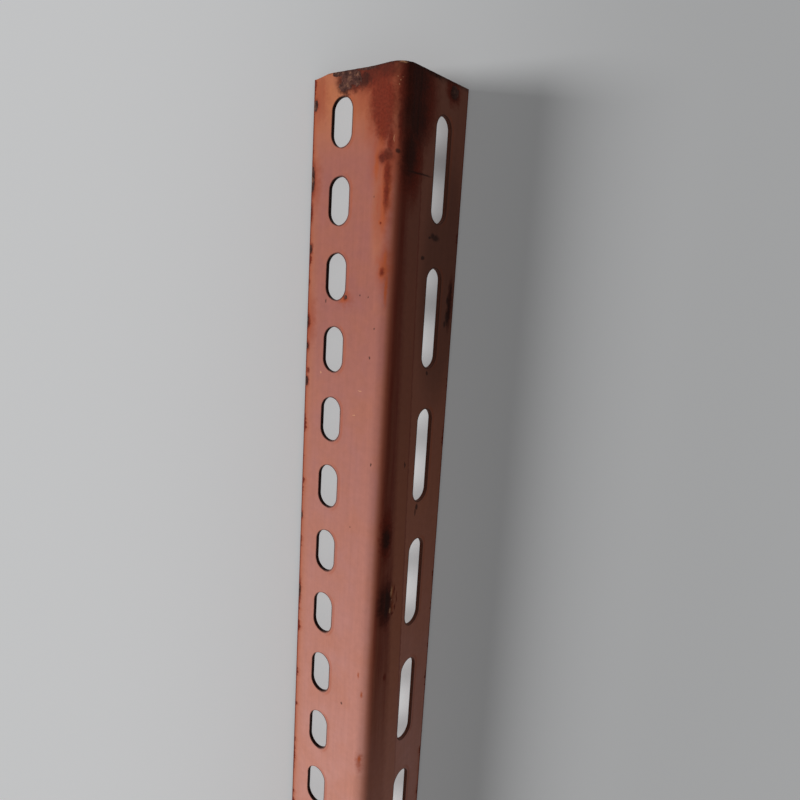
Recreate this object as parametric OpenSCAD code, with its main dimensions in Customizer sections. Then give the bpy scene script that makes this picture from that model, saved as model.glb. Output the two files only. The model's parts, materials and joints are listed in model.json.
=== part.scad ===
// Slotted shelving angle: one strip of sheet steel, punched with slots and folded
// along its length into two equal flanges.
// It lies on the two free edges, with the bend uppermost. X runs across the angle,
// Y along it and Z up. The flange with the short slots is on the -X side, and both
// rows of slots are counted from the +Y end.

/* [Angle] */
// Length of the angle
length = 1828.8; // [304.8:25.4:3048]
// Width of each flange, from the outer corner to its free edge
flange_w = 38.1; // [36:0.1:60]
// Thickness of the sheet
sheet_t = 1.5; // [1:0.1:2.5]
// Outer radius of the bend
bend_r = 6; // [3:0.5:8]

/* [Slots] */
// Width of every slot
slot_w = 9; // [6:0.5:11]
// Least sheet left between the last slot of a row and the end of the angle
end_web = 3; // [1:0.5:10]

/* [Short slots] */
// Overall length of a short slot
short_l = 16; // [12:0.5:20]
// Distance from one short slot to the next
short_pitch = 25.4; // [23:0.1:40]
// From the free edge to the centre line of the short slots
short_edge = 13.1; // [9:0.1:18]
// From the +Y end to the centre of the first short slot
short_first = 16.8; // [12:0.1:30]

/* [Long slots] */
// Overall length of a long slot
long_l = 35.5; // [24:0.5:44]
// Distance from one long slot to the next
long_pitch = 50.8; // [48:0.1:80]
// From the free edge to the centre line of the long slots
long_edge = 13.9; // [9:0.1:18]
// From the +Y end to the centre of the first long slot
long_first = 29.7; // [24:0.1:50]

/* [Hidden] */
$fn = 64;
// How far a punch runs past each face of the sheet
punch_over = 1;
// Each flange slopes down at this angle from the bend
slope = 45;
// Height of the sharp outer corner that the two outer faces would meet in
corner_z = (flange_w + sheet_t) * sin(slope);
short_count = slots_in(short_first, short_pitch, short_l);
long_count = slots_in(long_first, long_pitch, long_l);

// How many slots of a row fit in the length
function slots_in(first, pitch, slot_l) =
    1 + floor((length - first - slot_l / 2 - end_web) / pitch);

// Cross-section of the folded strip, with the sharp outer corner at the origin
// and a flange along each negative axis
module section() {
    flat_w = flange_w - bend_r;
    translate([-flange_w, -sheet_t])
        square([flat_w, sheet_t]);
    translate([-sheet_t, -flange_w])
        square([sheet_t, flat_w]);
    translate([-bend_r, -bend_r])
        bend();
}

// Quarter ring that joins the two flanges
module bend() {
    intersection() {
        difference() {
            circle(r = bend_r);
            circle(r = bend_r - sheet_t);
        }
        square(bend_r);
    }
}

// One round-ended punch, long along Y, that goes through the sheet along Z
module punch(slot_l) {
    straight = slot_l - slot_w;
    linear_extrude(height = sheet_t + 2 * punch_over, center = true) {
        square([slot_w, straight], center = true);
        for (end = [-1, 1])
            translate([0, end * straight / 2])
                circle(d = slot_w);
    }
}

// A row of punches along Y, counted back from the +Y end
module punch_row(count, first, pitch, slot_l) {
    for (i = [0 : count - 1])
        translate([0, length / 2 - first - i * pitch, 0])
            punch(slot_l);
}

module slotted_angle() {
    color("indianred")
        translate([0, 0, corner_z])
            rotate([0, -slope, 0])
                difference() {
                    rotate([90, 0, 0])
                        linear_extrude(height = length, center = true)
                            section();
                    translate([short_edge - flange_w, 0, -sheet_t / 2])
                        punch_row(short_count, short_first, short_pitch, short_l);
                    translate([-sheet_t / 2, 0, long_edge - flange_w])
                        rotate([0, 90, 0])
                            punch_row(long_count, long_first, long_pitch, long_l);
                }
}

slotted_angle();
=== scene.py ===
"""Dresses a slotted shelving angle: punched and folded sheet steel in red-oxide primer, rusting at its
edges and its cut end. The sheet is first built flat, as it is punched, and is then folded along its middle.
On the flat sheet, s runs across it from the middle of the bend, minus on the short-slot side, v runs along
it from the cut end that the photograph shows, and z is the height above its outer face."""

import json
import math
import random
from functools import partial

import bpy
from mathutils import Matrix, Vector

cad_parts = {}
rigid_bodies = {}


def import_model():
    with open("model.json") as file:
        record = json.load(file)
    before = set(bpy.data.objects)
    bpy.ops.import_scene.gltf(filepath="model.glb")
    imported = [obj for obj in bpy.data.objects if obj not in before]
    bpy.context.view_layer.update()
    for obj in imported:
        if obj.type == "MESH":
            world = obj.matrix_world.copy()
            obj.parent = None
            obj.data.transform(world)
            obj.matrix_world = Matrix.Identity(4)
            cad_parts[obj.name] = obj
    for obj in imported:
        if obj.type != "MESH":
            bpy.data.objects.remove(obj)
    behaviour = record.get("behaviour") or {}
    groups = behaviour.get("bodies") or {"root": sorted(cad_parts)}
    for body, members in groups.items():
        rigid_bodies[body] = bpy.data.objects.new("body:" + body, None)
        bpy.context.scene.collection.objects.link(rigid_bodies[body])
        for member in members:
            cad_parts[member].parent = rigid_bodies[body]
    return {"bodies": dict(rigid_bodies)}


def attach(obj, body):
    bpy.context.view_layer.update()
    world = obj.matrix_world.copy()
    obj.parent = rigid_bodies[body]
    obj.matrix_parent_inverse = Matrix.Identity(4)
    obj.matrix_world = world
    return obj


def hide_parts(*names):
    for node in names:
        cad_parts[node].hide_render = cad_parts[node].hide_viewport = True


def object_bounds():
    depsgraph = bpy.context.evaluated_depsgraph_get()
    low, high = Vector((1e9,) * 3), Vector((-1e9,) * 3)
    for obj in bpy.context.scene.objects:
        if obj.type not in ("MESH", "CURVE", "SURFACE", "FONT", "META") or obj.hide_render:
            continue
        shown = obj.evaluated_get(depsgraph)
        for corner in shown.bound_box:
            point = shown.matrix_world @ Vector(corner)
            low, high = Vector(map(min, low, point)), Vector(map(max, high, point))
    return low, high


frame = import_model()

bl_info = {
    "name": "Slotted Shelving Angle",
    "version": (1, 0, 0),
    "blender": (4, 5, 0),
    "location": "3D View > Sidebar > Angle",
    "description": "Builds a rusty, primed slotted angle and a plain stage for it",
    "category": "Add Mesh",
}

# The part's model as it was handed over, and the one body that its pieces ride on
CAD_BOX = [list(corner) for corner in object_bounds()]
NODE = "slotted_angle"
BODY = next(iter(frame["bodies"]))

MM = 0.001
PER_METRE = 1000
LENGTH = CAD_BOX[1][1] - CAD_BOX[0][1]
# y of the cut end that the photograph shows, and the height of the ridge
CUT_END = CAD_BOX[1][1]
RIDGE = CAD_BOX[1][2]
# Least sheet between the last slot of a row and the far end
END_WEB = 3 * MM
# Attribute that keeps each point's place on the flat sheet, in metres
FLAT = "flat_place"
# Two points of the flat sheet closer than this are one
WELD = 0.01 * MM


def linear(hex_colour):
    """Linear red, green, blue and alpha of an sRGB hex colour such as #B07568."""
    channels = [int(hex_colour[i:i + 2], 16) / 255 for i in (1, 3, 5)]
    return tuple(c / 12.92 if c <= 0.04045 else ((c + 0.055) / 1.055) ** 2.4 for c in channels) + (1.0,)


def length_prop(name, description, millimetres):
    """A size in metres that the sidebar shows in the scene's unit."""
    return bpy.props.FloatProperty(name=name, description=description, default=millimetres * MM,
                                   min=0.0, subtype="DISTANCE", unit="LENGTH")


def colour_prop(name, description, hex_colour):
    """A colour that the sidebar shows as a swatch."""
    return bpy.props.FloatVectorProperty(name=name, description=description, default=linear(hex_colour),
                                         size=4, min=0.0, max=1.0, subtype="COLOR")


class AngleSizes(bpy.types.PropertyGroup):
    """Sizes of the folded sheet and of its two rows of slots."""
    flange_w: length_prop("Flange width", "From the outer corner to the free edge", 38.1)
    sheet_t: length_prop("Sheet", "Thickness of the sheet", 1.5)
    bend_r: length_prop("Bend radius", "Outer radius of the bend", 6)
    slot_w: length_prop("Slot width", "Width of every slot", 9)
    short_l: length_prop("Short slot", "Overall length of a short slot", 16)
    short_pitch: length_prop("Short pitch", "From one short slot to the next", 25.4)
    short_edge: length_prop("Short line", "From the free edge to the line of the short slots", 13.1)
    short_first: length_prop("First short slot", "From the cut end to the first short slot's centre", 16.8)
    long_l: length_prop("Long slot", "Overall length of a long slot", 35.5)
    long_pitch: length_prop("Long pitch", "From one long slot to the next", 50.8)
    long_edge: length_prop("Long line", "From the free edge to the line of the long slots", 13.9)
    long_first: length_prop("First long slot", "From the cut end to the first long slot's centre", 29.7)
    rounding: length_prop("Edge rounding", "Radius that punching and paint leave on every edge", 0.15)
    end_dip: length_prop("End dip", "How far the short-slot flange's cut end lies behind the other's", 0.8)
    corner_dip: length_prop("Corner dip", "How much further its free corner is bent or filed back", 1.3)
    ragged: length_prop("Raggedness", "How rough the cut end is", 0.25)


class AngleColours(bpy.types.PropertyGroup):
    """Colours of the primer and of its rust."""
    primer: colour_prop("Primer", "Red-oxide primer, chalky where it is clean", "#BE8579")
    # Darker than worn primer alone: it also holds painted shade near the cut end
    primer_worn_and_shaded: colour_prop("Worn primer", "The same primer near the cut end, where it is thin", "#985B52")
    warm: colour_prop("Warm primer", "Primer tinted by thin rust", "#B06843")
    shade: colour_prop("Grimy primer", "Primer of the long-slot side, with dirt rubbed in", "#84503F")
    wash: colour_prop("Rust wash", "Rust that has washed over the primer", "#93432B")
    bleed: colour_prop("Rust bleed", "Bright orange rust that has run over the primer", "#A04A24")
    rust: colour_prop("Rust", "Solid red-brown rust", "#6A2517")
    crust: colour_prop("Crust", "Flaking, purplish-brown rust", "#56332B")
    dark: colour_prop("Dark rust", "Nearly black rust and grime", "#341913")
    # Also laid as painted highlight: on the crust's high spots, on a lifted flake and on the ridge at the cut
    # end
    scuff_and_highlight: colour_prop("Scuff", "Pale scratches, dust and lifted flakes", "#DEA67A")


class StageSettings(bpy.types.PropertyGroup):
    """The floor and the light."""
    floor: colour_prop("Floor", "Plain pale floor", "#DDDEDF")
    key: bpy.props.FloatProperty(name="Key light", default=2.73, min=0.0,
                                 description="Strength of the lamp, in watts per square metre")
    softness: bpy.props.FloatProperty(name="Softness", description="How wide the lamp looks from the angle",
                                      default=math.radians(14), min=0.0, subtype="ANGLE", unit="ROTATION")
    ambient: bpy.props.FloatProperty(name="Ambient", default=0.2, min=0.0,
                                     description="Strength of the even light from all round")


# What a kind of node may start with, where a call leaves it out
STARTS = ("ShaderNode", "GeometryNode", "FunctionNode", "")
# Settings that several nodes have
SMOOTH = {"interpolation_type": "SMOOTHSTEP"}
AS_VECTOR = {"data_type": "FLOAT_VECTOR"}
SAME_NUMBER = {"operation": "EQUAL", "data_type": "INT"}


def add(tree, kind, links=(), operation=None, **settings):
    """Adds a node of a kind, or a Math node where kind is an operation. settings are its properties. links
    gives its inputs in order, or some by name or number, as values, sockets, nodes or lists of these."""
    known = [start + kind for start in STARTS if hasattr(bpy.types, start + kind)]
    new = tree.nodes.new(known[0] if known else "ShaderNodeMath")
    if operation or not known:
        settings["operation"] = operation or kind
    for name, value in settings.items():
        setattr(new, name, value)
    for key, value in links.items() if isinstance(links, dict) else enumerate(links):
        for source in value if isinstance(value, list) else [value]:
            if isinstance(source, bpy.types.Node):
                source = next(socket for socket in source.outputs if socket.enabled)
            if isinstance(source, bpy.types.NodeSocket):
                tree.links.new(source, new.inputs[key])
            else:
                new.inputs[key].default_value = source
    return new


def combined(node, operation, *factors):
    """One factor made of several by the same operation, such as their product or the highest of them."""
    result = factors[0]
    for factor in factors[1:]:
        result = node(operation, [result, factor])
    return result


# Inputs that describe one row of slots
ROW_INPUTS = ["Slot Width", "Slot Length", "Pitch", "Line", "First"]
# Kinds of the trees' inputs that aren't plain numbers, by the last word of their names
INPUT_KINDS = {"Count": "Int", "Segments": "Int", "Divisions": "Int", "Flat": "Geometry",
               "Places": "Geometry", "Surface": "Material"}


def open_tree(name, inputs, result, kind="Geometry"):
    """A new geometry tree with named inputs and one result, what adds its nodes, and its inputs' sockets."""
    tree = bpy.data.node_groups.new(name, "GeometryNodeTree")
    for given in inputs:
        socket_type = "NodeSocket" + INPUT_KINDS.get(given.split()[-1], "Float")
        tree.interface.new_socket(given, in_out="INPUT", socket_type=socket_type)
    tree.interface.new_socket(result, in_out="OUTPUT", socket_type="NodeSocket" + kind)
    node = partial(add, tree)
    return tree, node, node("NodeGroupInput").outputs


def row_of_slots_tree():
    """Outlines of one row of slots, each larger than its slot by the rounding of its edge."""
    tree, node, given = open_tree("Row of slots", ROW_INPUTS + ["Count", "Rounding", "Segments"], "Outlines")
    radius = node("MULTIPLY_ADD", [given["Slot Width"], 0.5, given["Rounding"]])
    circle = node("CurvePrimitiveCircle", {"Resolution": given["Segments"], "Radius": radius})
    # The two half circles move apart by the slot's straight stretch
    straight = node("SUBTRACT", [given["Slot Length"], given["Slot Width"]])
    reach = node("MULTIPLY", [straight, 0.5])
    _, y, _ = node("SeparateXYZ", [node("InputPosition")]).outputs
    shift = node("CombineXYZ", [0, node("MULTIPLY", [node("SIGN", [y]), reach])])
    slot = node("SetPosition", {"Geometry": circle, "Offset": shift})
    start = node("CombineXYZ", [given["Line"], given["First"]])
    step = node("CombineXYZ", [0, node("MULTIPLY", [given["Pitch"], -1])])
    row = node("MeshLine", {"Count": given["Count"], "Start Location": start, "Offset": step})
    copies = node("InstanceOnPoints", {"Points": row, "Instance": slot})
    node("NodeGroupOutput", [node("RealizeInstances", [copies])])
    return tree


def into_slot_tree():
    """Direction from a point of a slot's outline straight into the slot."""
    tree, node, given = open_tree("Into the slot", ROW_INPUTS, "Direction", "Vector")
    x, y, _ = node("SeparateXYZ", [node("InputPosition")]).outputs
    back = node("SUBTRACT", [given["First"], y])
    whole = node("ROUND", [node("DIVIDE", [back, given["Pitch"]])])
    centre = node("MULTIPLY", [whole, given["Pitch"]])
    # How far the point is along the slot from its centre, and the nearest point of its middle line
    along = node("SUBTRACT", [centre, back])
    straight = node("SUBTRACT", [given["Slot Length"], given["Slot Width"]])
    reach = node("MULTIPLY", [straight, 0.5])
    other = node("MULTIPLY", [straight, -0.5])
    nearest = node("Clamp", [along, other, reach])
    across = node("SUBTRACT", [given["Line"], x])
    way = node("CombineXYZ", [across, node("SUBTRACT", [nearest, along])])
    node("NodeGroupOutput", [node("VectorMath", [way], "NORMALIZE")])
    return tree


def fold_tree():
    """Keeps each point's flat place and then folds the sheet square along its middle."""
    tree, node, given = open_tree("Fold", ["Sheet Flat", "Bend Radius", "Bend Centre"], "Folded")
    place = node("InputPosition")
    kept = node("StoreNamedAttribute", [given["Sheet Flat"], True, FLAT, place], **AS_VECTOR)
    x, y, z = node("SeparateXYZ", [place]).outputs
    turn = node("DIVIDE", [x, given["Bend Radius"]])
    angle = node("Clamp", [turn, -math.pi / 4, math.pi / 4])
    arc = node("MULTIPLY", [angle, given["Bend Radius"]])
    # What is left of s past the bend runs on along the flange
    rest = node("SUBTRACT", [x, arc])
    radius = node("ADD", [given["Bend Radius"], z])
    sine = node("SINE", [angle])
    cosine = node("COSINE", [angle])
    outward = node("CombineXYZ", [sine, 0, cosine])
    along = node("CombineXYZ", [cosine, 0, node("MULTIPLY", [sine, -1])])
    from_centre = node("VectorMath", {0: outward, "Scale": radius}, "SCALE")
    past_bend = node("VectorMath", {0: along, "Scale": rest}, "SCALE")
    centre = node("CombineXYZ", [0, y, given["Bend Centre"]])
    section = node("VectorMath", [from_centre, past_bend], "ADD")
    folded = node("VectorMath", [section, centre], "ADD")
    node("NodeGroupOutput", [node("SetPosition", [kept, True, folded])])
    return tree


def fold_and_finish(node, given, fold, mesh, spent, smooth):
    """Takes a flat mesh's spent attributes off, folds it, shades it and gives it its surface."""
    for name in spent:
        mesh = node("RemoveAttribute", [mesh, name])
    folded = node("GeometryNodeGroup", [mesh, given["Bend Radius"], given["Bend Centre"]], node_tree=fold)
    real = node("RealizeInstances", [node("SetShadeSmooth", [folded, True, smooth])])
    node("NodeGroupOutput", [node("SetMaterial", [real, True, given["Surface"]])])


# Rings of points round every edge, from the outer face over the rounding, down the wall and round again to
# the inner face: how far each is out from the first, in roundings, and how deep, in roundings and in sheets
ROUND_STEPS = 4
QUARTER = [math.pi / 2 * step / ROUND_STEPS for step in range(ROUND_STEPS + 1)]
EDGE_RINGS = ([(math.sin(a), math.cos(a) - 1, 0) for a in QUARTER]
              + [(math.cos(a), 1 - math.sin(a), -1) for a in QUARTER])
SLOT_SEGMENTS = 48
BEND_SEGMENTS = 14
# Rows of faces along the bend, and into how many parts the cut end of a flange is divided
BEND_ROWS = 288
END_PARTS = 48
# Where the cut end's raggedness begins and is full, back from it, and its waves in a metre
RAGGED_REACH = (3 * MM, 1 * MM)
RAGGED_GRAIN = 700
# Where its two dips begin and are full, across the sheet
DIP_REACH = (4 * MM, -14 * MM)
CORNER_REACH = (-29 * MM, -37 * MM)
# Attribute for which way each point of an edge's outline moves off the face
WAY_OFF = "way_off"
ANGLE_INPUTS = ["Length", "Flat Width", "Half Arc", "Sheet", "Bend Radius", "Bend Centre", "Rounding",
                "Slot Width", *(row + " " + name for row in ("Short", "Long")
                                for name in ROW_INPUTS[1:] + ["Count"]),
                "End Dip", "Corner Dip", "Ragged", "Surface"]


def angle_tree(row_tree, into_tree, fold):
    """The whole angle: a flat outer face with slots, walls round every edge, an inner face, and the fold."""
    tree, node, given = open_tree("Punched and folded angle", ANGLE_INPUTS, "Angle")
    faces, into = [], []
    run = node("MULTIPLY_ADD", [given["Rounding"], -2, given["Length"]])
    width = node("SUBTRACT", [given["Flat Width"], given["Rounding"]])
    middle = node("MULTIPLY_ADD", [width, 0.5, given["Half Arc"]])
    # The corners of the outline are counted round it, so that its odd sides are the long ones
    odd = node("MODULO", [node("InputIndex"), 2])
    cuts = node("MapRange", [odd, 0, 1, END_PARTS - 1, BEND_ROWS - 1])
    for row, side in (("Short", -1), ("Long", 1)):
        sizes = {name: given[name if name == "Slot Width" else row + " " + name] for name in ROW_INPUTS}
        into.append(node("GeometryNodeGroup", sizes, node_tree=into_tree))
        sizes.update({"Count": given[row + " Count"], "Rounding": given["Rounding"],
                      "Segments": SLOT_SEGMENTS})
        slots = node("GeometryNodeGroup", sizes, node_tree=row_tree)
        fine = node("SubdivideCurve", [node("CurvePrimitiveQuadrilateral", [width, run]), cuts])
        centre = node("CombineXYZ", [node("MULTIPLY", [middle, side])])
        outline = node("SetPosition", {"Geometry": fine, "Offset": centre})
        faces.append(node("FillCurve", [node("JoinGeometry", [[outline, slots]])]))
    arc = node("MULTIPLY", [given["Half Arc"], 2])
    bend = node("MeshGrid", [arc, run, BEND_SEGMENTS + 1, BEND_ROWS + 1])
    skin = node("MergeByDistance", [node("JoinGeometry", [faces + [bend]]), True, WELD])

    # A point moves off the face outwards at the sheet's own edges, and inwards at a slot
    x, y, _ = node("SeparateXYZ", [node("InputPosition")]).outputs
    outward = []
    for axis, limit in ((x, node("ADD", [given["Half Arc"], width])), (y, node("MULTIPLY", [run, 0.5]))):
        size = node("ABSOLUTE", [axis])
        past = node("GREATER_THAN", [size, node("SUBTRACT", [limit, WELD])])
        outward.append(node("MULTIPLY", [node("SIGN", [axis]), past]))
    border = node("CombineXYZ", outward)
    on_border = node("VectorMath", [border], "LENGTH")
    on_long = node("GREATER_THAN", [x, 0])
    into_slot = node("Mix", {0: on_long, 4: into[0], 5: into[1]}, data_type="VECTOR")
    way_off = node("Mix", {0: on_border, 4: into_slot, 5: border}, data_type="VECTOR")
    aimed = node("StoreNamedAttribute", [skin, True, WAY_OFF, way_off], **AS_VECTOR)
    way = node("InputNamedAttribute", [WAY_OFF], **AS_VECTOR)
    mesh = aimed
    edge = node("Compare", {2: node("InputMeshEdgeNeighbors"), 3: 1}, **SAME_NUMBER)
    for before, after in zip(EDGE_RINGS, EDGE_RINGS[1:]):
        out, down, deep = (b - a for a, b in zip(before, after))
        ring = node("ExtrudeMesh", {"Mesh": mesh, "Selection": edge, "Offset Scale": 0}, mode="EDGES")
        out = node("MULTIPLY", [given["Rounding"], out])
        down = node("MULTIPLY", [given["Rounding"], down])
        down = node("CombineXYZ", [0, 0, node("MULTIPLY_ADD", [given["Sheet"], deep, down])])
        sideways = node("VectorMath", {0: way, "Scale": out}, "SCALE")
        offset = node("VectorMath", [sideways, down], "ADD")
        edge = ring.outputs["Top"]
        mesh = node("SetPosition", {"Geometry": ring, "Selection": edge, "Offset": offset})
    through = node("CombineXYZ", [0, 0, node("MULTIPLY", [given["Sheet"], -1])])
    inner = node("SetPosition", {"Geometry": aimed, "Offset": through})
    both = node("JoinGeometry", [[mesh, node("FlipFaces", [inner])]])
    closed = node("MergeByDistance", [both, True, WELD])

    # The cut end: lower on the short-slot side, lower still at its free corner, and ragged all along
    from_end = node("SUBTRACT", [node("MULTIPLY", [given["Length"], 0.5]), y])
    at_end = node("MapRange", [from_end, *RAGGED_REACH], **SMOOTH)
    dip = node("MapRange", [x, *DIP_REACH, 0, given["End Dip"]], **SMOOTH)
    corner = node("MapRange", [x, *CORNER_REACH, 0, given["Corner Dip"]], **SMOOTH)
    rough = node("TexNoise", {"Vector": node("CombineXYZ", [x]), "Scale": RAGGED_GRAIN, "Detail": 3})
    cut = combined(node, "ADD", dip, corner, node("MULTIPLY", [rough, given["Ragged"]]))
    back = node("CombineXYZ", [0, combined(node, "MULTIPLY", cut, at_end, -1)])
    trimmed = node("SetPosition", {"Geometry": closed, "Offset": back})

    # The two faces of each flange are shaded flat, and the bend and every wall smooth
    x, _, z = node("SeparateXYZ", [node("InputNamedAttribute", [FLAT], **AS_VECTOR)]).outputs
    in_bend = node("LESS_THAN", [node("ABSOLUTE", [x]), given["Half Arc"]])
    off_middle = node("ABSOLUTE", [node("MULTIPLY_ADD", [given["Sheet"], 0.5, z])])
    nearly = node("MULTIPLY_ADD", [given["Sheet"], 0.5, -WELD / 4])
    smooth = node("MAXIMUM", [in_bend, node("LESS_THAN", [off_middle, nearly])])
    fold_and_finish(node, given, fold, trimmed, [WAY_OFF], smooth)
    return tree


# Attributes of a crust's patches: half its size across and along with its thickness, a point's place in it,
# and whether the point is cut off
REACH, LOCAL, GONE = "reach", "local", "gone"
CRUST_INPUTS = ["Places", "Divisions", "Grain", "Ragged", "Seed", "Root", "Edge", "End", "Bend Radius",
                "Bend Centre", "Surface"]
# Where a patch's outline is cut, and how high it stands there and at its middle, in thicknesses
CUT_LEVEL, FULL_LEVEL = -0.15, 0.55
CUT_HEIGHT, FULL_HEIGHT = -0.3, 1


def crust_tree(fold):
    """Patches of flaking rust on the flat sheet, at given points and of those points' reach, then folded."""
    tree, node, given = open_tree("Rust crust", CRUST_INPUTS, "Crust")
    position = node("InputPosition")
    count = node("ADD", [given["Divisions"], 1])
    grid = node("MeshGrid", [2, 2, count, count])
    marked = node("StoreNamedAttribute", [grid, True, LOCAL, position], **AS_VECTOR)
    reach = node("InputNamedAttribute", [REACH], **AS_VECTOR)
    spread = node("VectorMath", [reach, (1, 1, 0), (0, 0, 1)], "MULTIPLY_ADD")
    copies = node("InstanceOnPoints", {"Points": given["Places"], "Instance": marked, "Scale": spread})
    patches = node("RealizeInstances", [copies])
    # A patch is highest at its middle and ends where its rounded, ragged shape falls below the cut level
    radius = node("VectorMath", [node("InputNamedAttribute", [LOCAL], **AS_VECTOR)], "LENGTH")
    rough = node("TexNoise", [position, given["Seed"], given["Grain"], 4, 0.65], noise_dimensions="4D")
    swing = node("SUBTRACT", [rough, 0.5])
    level = node("MULTIPLY_ADD", [swing, given["Ragged"], node("SUBTRACT", [1, radius])])
    height = node("MapRange", [level, CUT_LEVEL, FULL_LEVEL, CUT_HEIGHT, FULL_HEIGHT])
    thick = node("SeparateXYZ", [reach]).outputs["Z"]
    flaky = combined(node, "MULTIPLY", height, thick, node("MULTIPLY", [rough, 2]))
    # Towards the sheet's free edges the crust thins, so that it doesn't stand out past them
    x, y, _ = node("SeparateXYZ", [position]).outputs
    left = node("SUBTRACT", [given["Edge"], node("ABSOLUTE", [x])])
    low = node("CombineXYZ", [0, 0, node("MINIMUM", [flaky, left])])
    # What is cut off is worked out from where the points lie before they rise
    below = node("LESS_THAN", [level, CUT_LEVEL])
    past = node("MAXIMUM", [node("LESS_THAN", [left, 0]), node("GREATER_THAN", [y, given["End"]])])
    gone = node("MAXIMUM", [below, past])
    top = node("SetPosition", {"Geometry": node("StoreNamedAttribute", [patches, True, GONE, gone]),
                               "Offset": low})
    is_gone = node("Compare", [node("InputNamedAttribute", [GONE]), 0.5], "GREATER_THAN")
    shell = node("DeleteGeometry", [top, is_gone])
    faces = node("InputMeshEdgeNeighbors")
    loose = node("Compare", {2: faces, 3: 0}, **SAME_NUMBER)
    shell = node("DeleteGeometry", [shell, loose], domain="EDGE")
    # Walls and an underside inside the steel close each patch
    root = node("CombineXYZ", [x, y, given["Root"]])
    rim = node("Compare", {2: faces, 3: 1}, **SAME_NUMBER)
    walls = node("ExtrudeMesh", {"Mesh": shell, "Selection": rim, "Offset Scale": 0}, mode="EDGES")
    walled = node("SetPosition", [walls, walls.outputs["Top"], root])
    underside = node("SetPosition", [shell, True, root])
    both = node("JoinGeometry", [[walled, node("FlipFaces", [underside])]])
    closed = node("MergeByDistance", [both, True, WELD / 4])
    fold_and_finish(node, given, fold, closed, [REACH, LOCAL, GONE], True)
    return tree


def placed(name, data):
    """A new object in the scene, at the origin."""
    new = bpy.data.objects.new(name, data)
    bpy.context.scene.collection.objects.link(new)
    return new


def grown(name, tree, values, patches=()):
    """A plain mesh object made by running a tree on the middles of some patches, if it needs any."""
    points = bpy.data.meshes.new(name)
    points.from_pydata([(s * MM, CUT_END - v * MM, 0) for s, v, *_ in patches], [], [])
    if patches:
        reach = points.attributes.new(REACH, "FLOAT_VECTOR", "POINT")
        for point, (_, _, *sizes) in zip(reach.data, patches):
            point.vector = [size * MM for size in sizes]
    holder = placed(name, points)
    modifier = holder.modifiers.new("Build", "NODES")
    modifier.node_group = tree
    for item in tree.interface.items_tree:
        if item.in_out == "INPUT" and item.name in values:
            modifier[item.identifier] = values[item.name]
    evaluated = holder.evaluated_get(bpy.context.evaluated_depsgraph_get())
    mesh = bpy.data.meshes.new_from_object(evaluated)
    holder.modifiers.clear()
    mesh.name = name
    holder.data = mesh
    if not mesh.polygons:
        raise RuntimeError(name + " has no faces")
    return holder


def bend_values(sizes, surface):
    """Inputs that every piece on the folded sheet shares."""
    return {"Bend Radius": sizes.bend_r, "Bend Centre": RIDGE - sizes.bend_r, "Surface": surface}


def half_width(sizes):
    """Distance from the middle of the bend to a free edge, along the outer face."""
    return sizes.bend_r * math.pi / 4 + sizes.flange_w - sizes.bend_r


def slot_rows(sizes):
    """Name, line, slot length, pitch and first slot of each row, in metres, and how many slots it has."""
    half = half_width(sizes)
    rows = (("Short", sizes.short_edge - half, sizes.short_l, sizes.short_pitch, sizes.short_first),
            ("Long", half - sizes.long_edge, sizes.long_l, sizes.long_pitch, sizes.long_first))
    return [(*row, 1 + math.floor((LENGTH - row[4] - row[2] / 2 - END_WEB) / row[3])) for row in rows]


def angle_values(sizes, surface):
    """Inputs of the angle's tree, worked out from the sizes in the sidebar."""
    values = {"Length": LENGTH, "Flat Width": sizes.flange_w - sizes.bend_r,
              "Half Arc": sizes.bend_r * math.pi / 4, "Sheet": sizes.sheet_t, "Rounding": sizes.rounding,
              "Slot Width": sizes.slot_w, "End Dip": sizes.end_dip, "Corner Dip": sizes.corner_dip,
              "Ragged": sizes.ragged, **bend_values(sizes, surface)}
    for row, line, slot_l, pitch, first, count in slot_rows(sizes):
        values.update({row + " Slot Length": slot_l, row + " Pitch": pitch, row + " Line": line,
                       row + " First": CUT_END - first, row + " Count": count})
    return values


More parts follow.
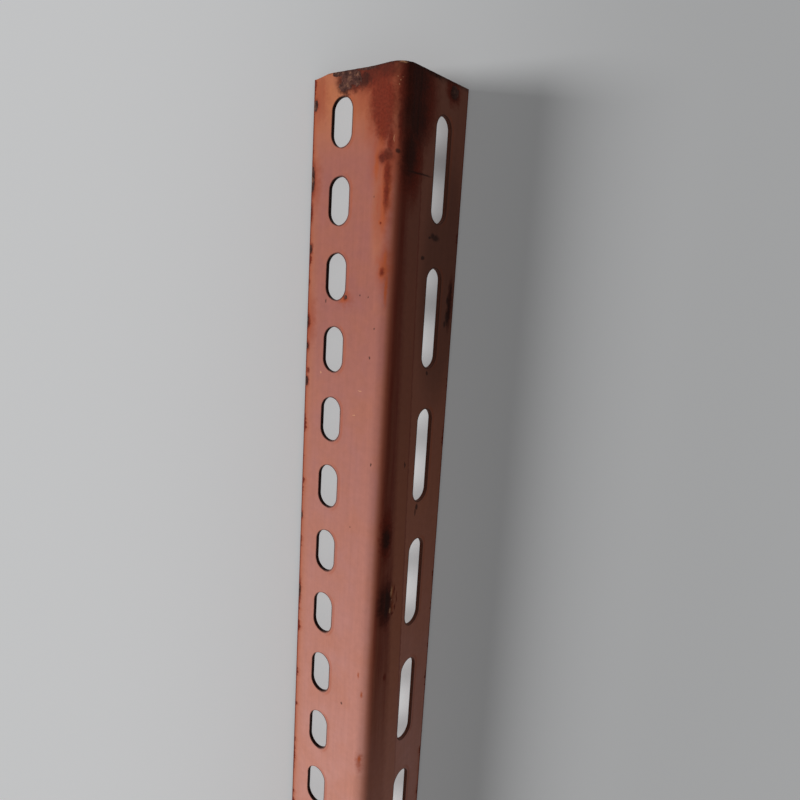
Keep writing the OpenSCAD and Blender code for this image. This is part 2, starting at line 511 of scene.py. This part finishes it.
# Kinds of stain near the cut end. Each has whether its outline is much shifted, where it begins and is full,
# in sizes of a spot, its strength, and its spots: s, v and half the size across and along, in millimetres
STAINS = {
    # A soft wash of rust over the primer
    "wash": (True, 1.5, 0.2, 0.85, [
        (-7.4, 24, 3.6, 5.5), (-7, 9, 10, 15), (-14.5, 8, 7, 9), (-9, 19, 5, 7), (-5.5, 28, 5, 12),
        (-1.6, 27, 2.4, 10), (-5, 44, 3.4, 12), (-3, 63, 3, 8), (-2.4, 249, 1.5, 4), (-34, 8, 4, 9),
        (-35, 36, 3, 8), (-35, 84, 2.5, 9), (-19, 75, 3.5, 2.6)]),
    # Bright orange rust that has run along the sheet
    "bleed": (False, 1.6, 0.2, 0.9, [
        (-6.2, 20, 1.2, 6), (-3.4, 38, 2, 9), (-4.1, 46, 1.2, 6), (-7.8, 31, 0.8, 5), (-4.9, 49.2, 0.9, 1.2),
        (-3.2, 64.5, 1.5, 3.2), (-2.6, 61, 0.6, 3), (-1.8, 71, 0.6, 5), (-19.6, 75, 1.9, 1.2),
        (-2.3, 247.6, 0.7, 1.3), (-2.9, 220.5, 0.5, 1.3), (-4.6, 213, 0.4, 1.2), (8.8, 181.5, 1, 3),
        (9.4, 187, 0.8, 2.2)]),
    # Solid red-brown rust, in large patches and in small spots
    "patches": (True, 1.55, 0.6, 1, [
        (-9.5, 3, 8, 6), (-6.5, 12, 5, 8), (-5.6, 18, 3.4, 5.5), (3, 7, 4.5, 10), (9, 9, 8, 14),
        (6, 28, 5, 14), (-19.5, 3.5, 6, 4.2), (27.5, 3.5, 4, 4), (3.6, 158, 2.6, 9), (5.2, 185, 3, 9)]),
    "rust": (False, 1.5, 0.3, 1, [
        (0.3, 18, 1.1, 9), (-2.9, 23.5, 1.2, 5.5), (-4.4, 28.8, 2.9, 2.6), (-5.9, 29, 1.5, 1.5),
        (-3.4, 34, 1.5, 6), (-3.4, 40, 1.1, 6), (-3.5, 65, 0.9, 1.5), (-35.9, 10.7, 1.2, 2.2),
        (-36.2, 35, 1.3, 6), (-35.9, 58.5, 1, 2), (-36.4, 70, 0.6, 1.2), (-36.2, 84, 0.9, 3.5),
        (-36.1, 93, 0.9, 2), (-35.6, 102, 0.8, 1.2), (-35.8, 106, 1, 2), (-36.4, 120, 0.6, 2),
        (-36.4, 158.5, 0.6, 2), (-36.2, 190, 0.8, 6), (-19, 74.6, 0.8, 0.9), (24.5, 1.5, 2.2, 1.8),
        (-4.9, 49.4, 0.4, 0.5), (34.2, 75, 1.5, 9), (7.3, 215.5, 0.8, 1.6), (-36.4, 46, 0.9, 3.6),
        (10.2, 180.6, 0.4, 2.2), (11.8, 184.5, 0.35, 2.4), (11.1, 188, 0.5, 1.4), (9.6, 190, 1, 0.6)]),
    # Soft, nearly black grime
    "grime": (True, 1.5, 0.35, 1, [
        (6.5, 4, 6.2, 9.5), (15, -1, 8, 3), (6.5, 15, 6.5, 10), (4.5, 27, 3.5, 9), (-20.6, 3.2, 5.6, 4.4),
        (-22.8, 6.2, 3.6, 2.2), (-14.5, 4.6, 3.4, 2.6), (-8, -4.5, 11, 8.5), (28, 3.8, 2.4, 2.4),
        (3.6, 158.5, 2.2, 4.5), (5.2, 184.5, 4, 8.5), (33.8, 76, 1.4, 8)]),
    # Small, sharp dark marks: chips, dots and specks
    "marks": (False, 1.4, 0.5, 0.85, [
        (-0.2, 27, 0.9, 0.6), (22, 52.4, 2.3, 1.1), (20.2, 51.8, 1.1, 1.1), (18.5, 52.3, 0.9, 0.5),
        (15, 59.5, 1.1, 0.6), (34.4, 70, 0.5, 2), (34, 77, 0.5, 2.4), (33, 80.4, 1.4, 2.4),
        (31.6, 82.6, 0.9, 1.4), (32.4, 74, 0.7, 1.6), (22.2, 100.2, 0.6, 0.7), (21.3, 151, 0.9, 1.4),
        (20.4, 153, 0.35, 1.6), (12, 132.8, 0.4, 1.2), (10, 32.5, 7, 0.35), (6.4, 187, 0.8, 2),
        (6, 182.5, 0.9, 2.4), (-36.4, 35.5, 0.7, 3), (-36.7, 45.5, 0.3, 3.5), (-36.6, 84, 0.4, 2.5),
        (-5.5, 84, 0.35, 0.35), (-6.6, 94, 0.35, 0.4), (-12.4, 73.1, 0.3, 0.3), (-8.8, 73.7, 0.25, 0.4),
        (-12.1, 228.1, 0.4, 0.55), (-12, 156.5, 0.3, 0.3), (-3.8, 131.2, 0.4, 0.6),
        (-27.9, 76.3, 0.35, 0.6), (-8.3, 41, 0.25, 0.35)]),
    # Pale scratches and dust, with painted highlights on a lifted flake of the long-slot side and on the
    # ridge at the cut end
    "scuffs_and_highlights": (False, 1.4, 0.3, 0.5, [
        (-1.6, 23.2, 0.16, 1.1), (-1.6, 4.9, 0.17, 0.15), (-0.6, 5.7, 0.2, 0.25), (0.1, 5, 0.17, 0.15),
        (-1, 7.3, 0.14, 0.3), (0.2, 0.6, 1.2, 0.35), (-10.3, 106, 0.9, 0.2), (-12.6, 114.9, 0.6, 0.2),
        (-29.1, 101.9, 0.4, 0.4), (8.5, 180.8, 0.65, 2), (8.9, 184.3, 0.3, 0.3), (8.2, 188.3, 0.4, 1.1)]),
}
# Faint dark stains: round the first long slots, and on the bend
FAINT_STAINS = [(28, 68, 13, 42), (-3.6, 28.1, 1.6, 1.8), (-5.5, 29.3, 1.3, 1.2)]
# Where the stretch that the photograph shows ends, in millimetres from the cut end
SHOWN = 262
# Where looks change along the sheet, from and to: the primer is worn and darker with painted shade, thin rust
# warms the end, the bend's shoulder and the long-slot side, grime covers that side, and its rust fades where
# the photograph ends
WORN_AND_SHADED, END_WARM, SHOULDER_WARM = (265, 70), (36, 10), (72, 48)
LONG_WARM, GRIMY, UNSEEN = (270, 150), (230, 30), (SHOWN, 205)
# Where they change across it: between its sides, starting on the bend's lit side so that the long-slot side's
# darker colours lay painted shade on the bend, in from a free edge, and off the shoulder's own line
SIDES, EDGE_WARM, OFF_SHOULDER = (-2, 1.5), (8, 0), (5, 0.5)
SHOULDER = 6
# The faint line's slope, and where it starts at the cut end
LINE_SLOPE, LINE_START = 0.03, 10.2
# How far the orange line round a slot lies from its wall
RIM_GAP = 1.1
# Heights of the coat's texture, of pitted rust and of the crust's own grain
COAT_HEIGHT, PIT_HEIGHT, FLAKE_HEIGHT = 0.012, 0.08, 0.06


def nearest_spot(node, place, spots):
    """How far a point is from the nearest spot's middle, where 1 is that spot's edge."""
    sizes = []
    for s, v, across, along in spots:
        scale, shift = (1 / across, 1 / along, 0), (-s / across, -v / along, 0)
        scaled = node("VectorMath", [place, scale, shift], "MULTIPLY_ADD")
        sizes.append(node("VectorMath", [scaled], "LENGTH"))
    return combined(node, "MINIMUM", *sizes)


def layered(node, colour, layers):
    """A colour with others laid over it in turn, each once for every factor that follows it."""
    for other, *factors in layers:
        for factor in factors:
            colour = node("Mix", {0: factor, 6: colour, 7: other}, data_type="RGBA")
    return colour


def slot_gap(node, s, v, sizes, row):
    """Distance in millimetres from the wall of the nearest slot of a row, and the side of its line."""
    _, line, slot_l, pitch, first, count = row
    reach = (slot_l - sizes.slot_w) / 2 * PER_METRE
    pitch, first, line = pitch * PER_METRE, first * PER_METRE, line * PER_METRE
    pitches = node("MULTIPLY_ADD", [v, 1 / pitch, -first / pitch])
    nearest = node("Clamp", [node("ROUND", [pitches]), 0, count - 1])
    along = node("MULTIPLY", [node("SUBTRACT", [pitches, nearest]), pitch])
    past = node("SUBTRACT", [along, node("Clamp", [along, -reach, reach])])
    across = node("SUBTRACT", [s, line])
    radius = node("VectorMath", [node("CombineXYZ", [across, past])], "LENGTH")
    return node("SUBTRACT", [radius, sizes.slot_w / 2 * PER_METRE]), across


def sheet_place(node):
    """A point's s, v and height on the flat sheet, in millimetres."""
    raw = node("Attribute", attribute_name=FLAT, attribute_type="GEOMETRY").outputs["Vector"]
    scale, shift = (PER_METRE, -PER_METRE, PER_METRE), (0, CUT_END * PER_METRE, 0)
    return node("VectorMath", [raw, scale, shift], "MULTIPLY_ADD")


def nodes_of(owner):
    """Gives a material or a world an empty tree, and returns what adds nodes to it."""
    owner.use_nodes = True
    owner.node_tree.nodes.clear()
    return partial(add, owner.node_tree)


def primer_material(sizes, colours):
    """Matte red-oxide primer on steel sheet. It is chalky pink where clean; near the cut end it is thin,
    rust-stained and darker with painted shade. It is orange along the free edges and grimy on the long-slot
    side, whose darker colours begin on the bend's lit side as painted shade. The slots' walls are dark with
    rust and painted shade, and take the grimy primer on the long-slot side. Every length in it is in
    millimetres."""
    material = bpy.data.materials.new("red_oxide_primer")
    node = nodes_of(material)
    place = sheet_place(node)
    s, v, z = node("SeparateXYZ", [place]).outputs
    depth = sizes.sheet_t * PER_METRE
    whole = LENGTH * PER_METRE
    # The named stains are on the outer face. A point of the inner face counts as one far past them
    inner = node("LESS_THAN", [z, -depth / 2])
    aside = node("VectorMath", {0: (0, 3 * whole, 0), "Scale": inner}, "SCALE")
    marked = node("VectorMath", [place, aside], "ADD")

    # Cloudiness of several sizes, and places shifted by it so that no stain has a smooth outline. The last
    # three numbers of a noise are its scale, detail and roughness
    clouds = node("TexNoise", [place, 0, 0.06, 4, 0.6])
    grain = node("TexNoise", [place, 0, 0.4, 5, 0.65])
    pits = node("TexNoise", [place, 0, 1.2, 4, 0.6])
    centred = node("VectorMath", [grain.outputs["Color"], (0.5, 0.5, 0.5)], "SUBTRACT")
    shifted = node("VectorMath", [centred, (4.5, 7, 0), marked], "MULTIPLY_ADD")
    nudged = node("VectorMath", [centred, (1.6, 1.6, 0), marked], "MULTIPLY_ADD")
    stretched = node("VectorMath", [place, (0.7, 0.03, 0.5)], "MULTIPLY")
    streaks = node("TexNoise", [stretched, 0, 1, 3, 0.6])
    cloudy = node("MapRange", [clouds, 0.35, 0.65])
    streaky = node("MapRange", [streaks, 0.35, 0.65])
    grainy = node("MapRange", [grain, 0.3, 0.7])
    streak_share = node("MapRange", {0: streaky, 3: 0.7})

    # Where the sheet is: near its cut end, its free edges, its bend, and on the long-slot side
    # Near the cut end: worn primer, darkened further as painted shade
    near_end = node("MapRange", [v, *WORN_AND_SHADED])
    from_edge = node("SUBTRACT", [half_width(sizes) * PER_METRE, node("ABSOLUTE", [s])])
    near_edge = node("MapRange", [from_edge, *EDGE_WARM, 0, 0.6], **SMOOTH)
    # The long-slot side's colours begin on the bend's lit side, as painted shade there
    long_side = node("MapRange", [s, *SIDES], **SMOOTH)
    short_side = node("SUBTRACT", [1, long_side])
    off_shoulder = node("ABSOLUTE", [node("ADD", [s, SHOULDER])])
    on_shoulder = node("MULTIPLY", [node("MapRange", [off_shoulder, *OFF_SHOULDER], **SMOOTH),
                                    node("MapRange", [v, *SHOULDER_WARM, 0.2, 0.8], **SMOOTH)])

    # Thin rust that warms the primer
    edge_warm = node("MULTIPLY", [near_edge, short_side])
    end_warm = node("MULTIPLY", [node("MapRange", [v, *END_WARM], **SMOOTH), short_side])
    warm = combined(node, "MAXIMUM", edge_warm, on_shoulder, end_warm)
    warm = node("MULTIPLY", [warm, node("MapRange", {0: cloudy, 3: 0.65})])
    warm = node("MAXIMUM", [warm, node("MULTIPLY", [cloudy, 0.3])])

    # The long-slot side is grimy, and most so beside the bend, up to a faint line that runs along it. Where
    # this side begins on the bend's lit side, its darker colours are painted shade
    line = node("MULTIPLY_ADD", [v, LINE_SLOPE, LINE_START])
    past_line = node("SUBTRACT", [node("SeparateXYZ", [nudged]).outputs["X"], line])
    bend_side = node("MapRange", [past_line, 0.5, -0.5])
    grime = node("MULTIPLY", [node("MapRange", [v, *GRIMY, 0.1, 0.95], **SMOOTH), long_side])
    # Thin rust warms it too, and lies thickest beside the bend and along that line
    unseen = node("MapRange", [v, *UNSEEN, 0.4])
    long_warm = node("MapRange", [v, *LONG_WARM, 0, 0.5])
    long_warm = node("MAXIMUM", [long_warm, node("MULTIPLY", [bend_side, 0.7])])
    long_warm = combined(node, "MULTIPLY", long_warm, long_side, unseen)
    on_line = node("MapRange", [node("ABSOLUTE", [past_line]), 0.7, 0.1, 0, 0.6], **SMOOTH)
    red = node("MapRange", [past_line, -5, -9, 0.25, 0.9], **SMOOTH)
    red = node("MAXIMUM", [node("MULTIPLY", [red, bend_side]), on_line])
    red = combined(node, "MULTIPLY", red, long_side, streak_share, unseen)

    # Stains, and blotches all along the free edges
    stains = {}
    for name, (much, begins, full, strength, spots) in STAINS.items():
        nearest = nearest_spot(node, shifted if much else nudged, spots)
        stains[name] = node("MapRange", [nearest, begins, full, 0, strength], **SMOOTH)
    faint = node("MapRange", [nearest_spot(node, nudged, FAINT_STAINS), 1.2, 0.8, 0, 0.35])
    wash = node("MULTIPLY", [stains["wash"], streak_share])
    smear = node("MULTIPLY", [stains["grime"], streak_share])
    rust = node("MAXIMUM", [stains["patches"], stains["rust"]])
    rust = node("MULTIPLY", [rust, node("MapRange", {0: grainy, 3: 0.85})])
    blotch_place = node("VectorMath", [place, (0.02, 0.11, 0.02)], "MULTIPLY")
    blotch_w = node("MapRange", [node("TexNoise", [blotch_place, 0, 1, 4, 0.7]), 0.54, 0.78, 0.3, 2.4])
    blotch_gap = node("SUBTRACT", [from_edge, blotch_w])
    edge_rust = node("MapRange", [blotch_gap, 0.5, -0.1])
    # Past the stretch that the photograph shows, rust spots lie here and there
    past_shown = node("GREATER_THAN", [node("SeparateXYZ", [marked]).outputs["Y"], SHOWN])
    scattered = node("VectorMath", [shifted, (0.05, 0.02, 0.05)], "MULTIPLY")
    cells = node("TexVoronoi", {"Vector": scattered, "Scale": 1})
    chosen = node("GREATER_THAN", [node("SeparateXYZ", [cells.outputs["Color"]]), 0.6])
    stray = node("MapRange", [cells, 0.16, 0.03], **SMOOTH)
    stray = combined(node, "MULTIPLY", stray, chosen, past_shown)
    # The ends rust too, as far as the stains above don't reach, and so do the free edges
    end_gap = node("MINIMUM", [v, node("SUBTRACT", [whole, v])])
    end_depth = node("MULTIPLY_ADD", [cloudy, -9, end_gap])
    end_rust = node("MapRange", [end_depth, 3.5, -4, 0, 0.85], **SMOOTH)
    end_rust = node("MULTIPLY", [end_rust, past_shown])
    edge_bleed = node("MapRange", [blotch_gap, 2.2, 0, 0, 0.55], **SMOOTH)
    edge_bleed = node("MULTIPLY", [edge_bleed, node("MAXIMUM", [short_side, past_shown])])

    # A thin dark line round each slot, an orange one beside it, and dark walls in the slots: rust, with
    # painted shade
    rims, chips = [], []
    for row in slot_rows(sizes):
        gap, across = slot_gap(node, s, v, sizes, row)
        side = node("MapRange", [across, 1, 4])
        band = node("ABSOLUTE", [node("SUBTRACT", [gap, RIM_GAP])])
        band = node("MapRange", [band, 0.8, 0.1, 0, 0.45])
        rims.append(combined(node, "MULTIPLY", band, side, streak_share))
        # The dark line is wider on the side of the slot that faces the bend
        bend_way = math.copysign(1, -row[1])
        wider = node("MapRange", [across, -bend_way, bend_way, 0, 0.25])
        chips.append(node("MapRange", [node("SUBTRACT", [gap, wider]), 0.35, 0.1, 0, 0.8]))
    end_rim = node("MULTIPLY_ADD", [grain, 1.6, end_gap])
    end_rim = node("MapRange", [end_rim, 2.3, 1.2, 0, 0.7])
    chips = node("MULTIPLY", [combined(node, "MAXIMUM", *chips, end_rim), streak_share])
    below = node("MapRange", [z, -0.05, -0.2])
    above = node("MapRange", [z, 0.05 - depth, 0.2 - depth])
    wall = node("MULTIPLY", [below, above])

    # The slot walls' dark colour is rust and painted shade; on the long-slot side they take the grimy primer
    # instead
    colour = layered(node, colours.primer, [
        (colours.primer_worn_and_shaded, near_end), (colours.warm, warm, long_warm), (colours.shade, grime),
        (colours.rust, red), (colours.wash, wash),
        (colours.bleed, edge_bleed, stains["bleed"], combined(node, "MAXIMUM", *rims)),
        (colours.rust, edge_rust, stray, end_rust, rust),
        (colours.dark, faint, smear, stains["marks"], chips), (colours.scuff_and_highlight, stains["scuffs_and_highlights"]),
        (colours.dark, wall), (colours.shade, combined(node, "MULTIPLY", wall, long_side, 0.9))])
    # Fine unevenness of the brushed coat, and rust that is mottled much more than the paint
    value = node("MULTIPLY", [node("MapRange", {0: grainy, 3: 0.95, 4: 1.05}),
                              node("MapRange", {0: streaky, 3: 0.97, 4: 1.03})])
    rusty = combined(node, "MAXIMUM", rust, smear, edge_rust, stray, end_rust)
    mottle = node("MULTIPLY", [node("SUBTRACT", [pits, 0.5]), rusty])
    mottle = node("MULTIPLY_ADD", [mottle, 1.2, 1])
    finish = node("VectorMath", {0: colour, "Scale": node("MULTIPLY", [value, mottle])}, "SCALE")
    roughness = node("MapRange", {0: rusty, 3: 0.65, 4: 0.9})
    coat = node("MULTIPLY", [pits, COAT_HEIGHT])
    height = node("MULTIPLY_ADD", [node("MULTIPLY", [pits, rusty]), PIT_HEIGHT, coat])
    bump = node("Bump", {"Height": height, "Distance": MM})
    # A chalky coat scatters most of the gloss that its binder would have
    shader = node("BsdfPrincipled", {"Base Color": finish, "Roughness": roughness,
                                     "Specular IOR Level": 0.15, "Normal": bump})
    node("OutputMaterial", {"Surface": shader})
    return material


def crust_material(colours):
    """Flaking iron oxide: rough, purplish brown to black, with ochre dust and painted highlights on its high
    spots.
    """
    material = bpy.data.materials.new("flaking_rust")
    node = nodes_of(material)
    place = sheet_place(node)
    _, v, z = node("SeparateXYZ", [place]).outputs
    lumps = node("TexNoise", [place, 0, 0.6, 5, 0.7])
    brown = node("MULTIPLY", [node("MapRange", [lumps, 0.36, 0.6]), node("MapRange", [v, 0.5, 2, 0.3])])
    # Lighter on the high spots: ochre dust, and painted highlight
    dust_and_highlight = node("MULTIPLY", [node("MapRange", [z, 0.1, 0.5]), node("MapRange", [lumps, 0.5, 0.66, 0, 0.4])])
    colour = layered(node, colours.dark, [(colours.crust, brown), (colours.scuff_and_highlight, dust_and_highlight)])
    fine = node("TexNoise", [place, 0, 2.2, 4, 0.6])
    bump = node("Bump", {"Height": node("MULTIPLY", [fine, FLAKE_HEIGHT]), "Distance": MM})
    shader = node("BsdfPrincipled", {"Base Color": colour, "Roughness": 0.9, "Specular IOR Level": 0.3,
                                     "Normal": bump})
    node("OutputMaterial", {"Surface": shader})
    return material


class ANGLE_OT_steel(bpy.types.Operator):
    """Punches the flat sheet, folds it and paints it"""
    bl_idname = "angle.steel"
    bl_label = "Punched and folded steel"

    def execute(self, context):
        sizes = context.scene.angle_sizes
        surface = primer_material(sizes, context.scene.angle_colours)
        trees = row_of_slots_tree(), into_slot_tree(), fold_tree()
        piece = grown("punched_angle", angle_tree(*trees), angle_values(sizes, surface))
        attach(piece, BODY)
        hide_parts(NODE)
        return {"FINISHED"}


# Patches of crust: s, v, half the size across and along, and thickness, in millimetres
END_CRUST = [(-20.8, 2.6, 4.2, 3, 0.28), (-22.8, 5.8, 2.9, 1.5, 0.25), (-17.8, 4, 2.2, 2.4, 0.25),
             (-26.4, 1.6, 2.4, 0.9, 0.3), (-13.5, 1.2, 3.6, 0.7, 0.2), (28, 3.4, 2.4, 2.2, 0.2)]
EDGE_CRUST = [(-35.9, 10.7, 1.1, 1.8, 0.35), (-36.4, 35, 1.1, 4.4, 0.35), (-36.3, 58.5, 0.8, 1.6, 0.3),
              (-36.6, 84, 0.6, 2.4, 0.3), (-36.4, 93, 0.6, 1.2, 0.25), (-36.2, 106, 0.8, 1.8, 0.3),
              (-36.5, 158.5, 0.6, 1.2, 0.25), (-36.4, 190, 0.7, 3, 0.3), (-18.7, 74.2, 0.7, 0.7, 0.2)]
# Into how many parts a patch's grid is divided each way, and how ragged the patch is
END_SHAPE = {"Divisions": 44, "Ragged": 2.2}
EDGE_SHAPE = {"Divisions": 16, "Ragged": 1.4}
# Flakes in a metre of crust, the seed of their pattern, and how deep its underside lies in the steel
CRUST_GRAIN = 900
PATTERN_SEED = 2
CRUST_ROOT = -0.45 * MM
# Small crusts past the stretch that the photograph shows: how many, the seed of their places, how near the
# far end they may lie, and ranges of their half size across, their distance in from the edge, how many times
# longer than wide they are, and their thickness
STRAY_CRUSTS = 46
CRUST_SEED = 41
STRAY_MARGIN = 4
STRAY_SIZE, STRAY_INSET, STRAY_STRETCH, STRAY_THICK = (0.8, 1.7), (0.2, 1.2), (1, 3.2), (0.2, 0.45)


def stray_crusts(sizes):
    """Small crusts scattered along the free edges, past the stretch whose crusts are known."""
    dice = random.Random(CRUST_SEED)
    edge = half_width(sizes) * PER_METRE
    last = LENGTH * PER_METRE - STRAY_MARGIN
    strays = []
    for _ in range(STRAY_CRUSTS):
        side = dice.choice((-1, 1))
        size = dice.uniform(*STRAY_SIZE)
        strays.append((side * (edge - dice.uniform(*STRAY_INSET)), dice.uniform(SHOWN, last),
                       size, size * dice.uniform(*STRAY_STRETCH), dice.uniform(*STRAY_THICK)))
    return strays


class ANGLE_OT_crust(bpy.types.Operator):
    """Grows flaking crust at the cut end and small crusts along the free edges"""
    bl_idname = "angle.crust"
    bl_label = "Rust crust"

    def execute(self, context):
        sizes = context.scene.angle_sizes
        surface = crust_material(context.scene.angle_colours)
        values = {"Grain": CRUST_GRAIN, "Root": CRUST_ROOT, "Edge": half_width(sizes) - sizes.rounding,
                  "End": CUT_END - sizes.end_dip - sizes.ragged, "Seed": PATTERN_SEED,
                  **bend_values(sizes, surface)}
        tree = crust_tree(fold_tree())
        for name, shape, patches in (("end_crust", END_SHAPE, END_CRUST),
                                     ("edge_crust", EDGE_SHAPE, EDGE_CRUST + stray_crusts(sizes))):
            piece = grown(name, tree, {**values, **shape}, patches)
            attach(piece, BODY)
        return {"FINISHED"}


# The camera's place in metres and its turn in degrees, from the slots' outlines in the photograph
CAMERA_PLACE = (-29.1 * MM, CUT_END - 64.9 * MM, 244.1 * MM)
CAMERA_TURN = (-11.43, -8.24, 3.39)
# Focal length in pixels of an 800-pixel frame
FOCAL_PIXELS = 658.3
FRAME_PIXELS = 800
SENSOR_MM = 36
# Which way the light falls: low from the short-slot side, so that the other flange is in shade
KEY_WAY = (1.0, 0.12, -0.35)
FLOOR_REACH = 20
# How far from the ridge the floor's painted light is palest on the lit side and its painted shadow darkest on
# the other
SHADE_REACH = 0.15
# Strengths of the painted light that only the camera and reflections see: from the backdrop, from all the
# floor, and from the floor under the angle, a painted light in place of the angle's shadow there, so that the
# slots show it as pale as the floor beside them
BACKDROP, FLOOR_GLOW, UNDER_GLOW = 0.3, 0.13, 0.42
# The last on the far side of the ridge, and on that side near the cut end, where it is darkest, as painted
# shadow
FAR_GLOW, SHADOW_GLOW = 0.34, 0.1
# Where it changes: back from the cut end, in from the angle's outline, out from the ridge, where this share
# of it is left, and onto the far side
SHADOW_REACH, INSIDE_REACH = (130 * MM, 30 * MM), (1 * MM, 4 * MM)
RIDGE_REACH, RIDGE_SHARE, FAR_REACH = (3 * MM, 12 * MM), 0.2, (0, 10 * MM)


def seen_directly(node):
    """1 for the rays of the camera and of reflections, and 0 for those that light a surface."""
    rays = node("LightPath").outputs
    kinds = [rays[kind] for kind in ("Is Camera Ray", "Is Glossy Ray", "Is Transmission Ray")]
    return combined(node, "MAXIMUM", *kinds)


def floor_material(colour):
    """Plain matte floor, with a faint painted light of its own, laid out as painted light and painted shadow,
    that only the camera and reflections see.
    """
    material = bpy.data.materials.new("pale_floor")
    node = nodes_of(material)
    seen = seen_directly(node)
    x, y, _ = node("SeparateXYZ", [node("TexCoord").outputs["Object"]]).outputs
    # A painted pool of light on the floor under the angle, in place of its shadow
    under = seen
    for axis, limit in ((x, CAD_BOX[1][0]), (y, CUT_END)):
        edge = [limit - reach for reach in INSIDE_REACH]
        under = node("MULTIPLY", [under, node("MapRange", [node("ABSOLUTE", [axis]), *edge], **SMOOTH)])
    # Painted light on the lit side of the ridge and painted shadow on the other, and the same again far from
    # it
    side = node("DIVIDE", [x, node("MULTIPLY_ADD", [x, x, SHADE_REACH ** 2])])
    side = node("MULTIPLY_ADD", [side, -2 * SHADE_REACH * FLOOR_GLOW, FLOOR_GLOW])
    glow = node("MULTIPLY", [seen, side])
    fall = [CUT_END - reach for reach in SHADOW_REACH]
    shadow = node("MapRange", [y, *fall, FAR_GLOW, SHADOW_GLOW], **SMOOTH)
    # Least of it lies under the ridge, as painted shade there
    deep = node("MapRange", [node("ABSOLUTE", [x]), *RIDGE_REACH, RIDGE_SHARE], **SMOOTH)
    under = node("MULTIPLY", [under, deep])
    strength = node("Mix", {0: node("MapRange", [x, *FAR_REACH]), 2: UNDER_GLOW, 3: shadow})
    glow = node("MULTIPLY_ADD", [under, strength, glow])
    diffuse = node("BsdfDiffuse", {"Color": colour})
    emission = node("Emission", {"Color": colour, "Strength": glow})
    node("OutputMaterial", {"Surface": node("AddShader", [diffuse, emission])})
    return material


class ANGLE_OT_stage(bpy.types.Operator):
    """Adds the plain floor, the light and the camera"""
    bl_idname = "angle.stage"
    bl_label = "Stage"

    def execute(self, context):
        scene = context.scene
        settings = scene.angle_stage
        floor_mesh = bpy.data.meshes.new("floor")
        corners = [(x * FLOOR_REACH, y * FLOOR_REACH, 0) for x, y in ((-1, -1), (1, -1), (1, 1), (-1, 1))]
        floor_mesh.from_pydata(corners, [], [(0, 1, 2, 3)])
        floor_mesh.materials.append(floor_material(settings.floor))
        floor = placed("floor", floor_mesh)

        light = bpy.data.lights.new("key", "SUN")
        light.energy = settings.key
        light.angle = settings.softness
        lamp = placed("key", light)
        lamp.rotation_euler = Vector(KEY_WAY).to_track_quat("-Z", "Y").to_euler()

        world = bpy.data.worlds.new("even_light")
        scene.world = world
        node = nodes_of(world)
        strength = node("MapRange", {0: seen_directly(node), 3: settings.ambient, 4: BACKDROP})
        background = node("Background", {"Color": linear("#FFFFFF"), "Strength": strength})
        node("OutputWorld", {"Surface": background})

        lens = bpy.data.cameras.new("camera")
        lens.sensor_width = SENSOR_MM
        lens.lens = FOCAL_PIXELS / FRAME_PIXELS * SENSOR_MM
        lens.clip_start = MM
        camera = placed("camera", lens)
        camera.location = CAMERA_PLACE
        camera.rotation_euler = [math.radians(a) for a in CAMERA_TURN]
        scene.camera = camera
        scene.view_settings.view_transform = "Standard"
        return {"FINISHED"}


class ANGLE_PT_panel(bpy.types.Panel):
    """Lists the steps and what they read"""
    bl_idname = "ANGLE_PT_panel"
    bl_label = "Slotted Angle"
    bl_space_type = "VIEW_3D"
    bl_region_type = "UI"
    bl_category = "Angle"

    def draw(self, context):
        layout = self.layout
        for key in GROUPS:
            group = getattr(context.scene, key)
            box = layout.box()
            for name in group.__annotations__:
                box.prop(group, name)
        for operator in OPERATORS:
            layout.operator(operator.bl_idname)


GROUPS = {"angle_sizes": AngleSizes, "angle_colours": AngleColours, "angle_stage": StageSettings}
OPERATORS = (ANGLE_OT_steel, ANGLE_OT_crust, ANGLE_OT_stage)


def register():
    """Makes the classes known to Blender and hangs the settings on the scene."""
    for cls in (*GROUPS.values(), *OPERATORS, ANGLE_PT_panel):
        bpy.utils.register_class(cls)
    for name, group in GROUPS.items():
        setattr(bpy.types.Scene, name, bpy.props.PointerProperty(type=group))


def unregister():
    """Undoes register."""
    for name in GROUPS:
        delattr(bpy.types.Scene, name)
    for cls in (ANGLE_PT_panel, *OPERATORS, *GROUPS.values()):
        bpy.utils.unregister_class(cls)


def main():
    """Builds the scene."""
    register()
    bpy.ops.angle.steel()
    bpy.ops.angle.crust()
    bpy.ops.angle.stage()


if __name__ == "__main__":
    main()
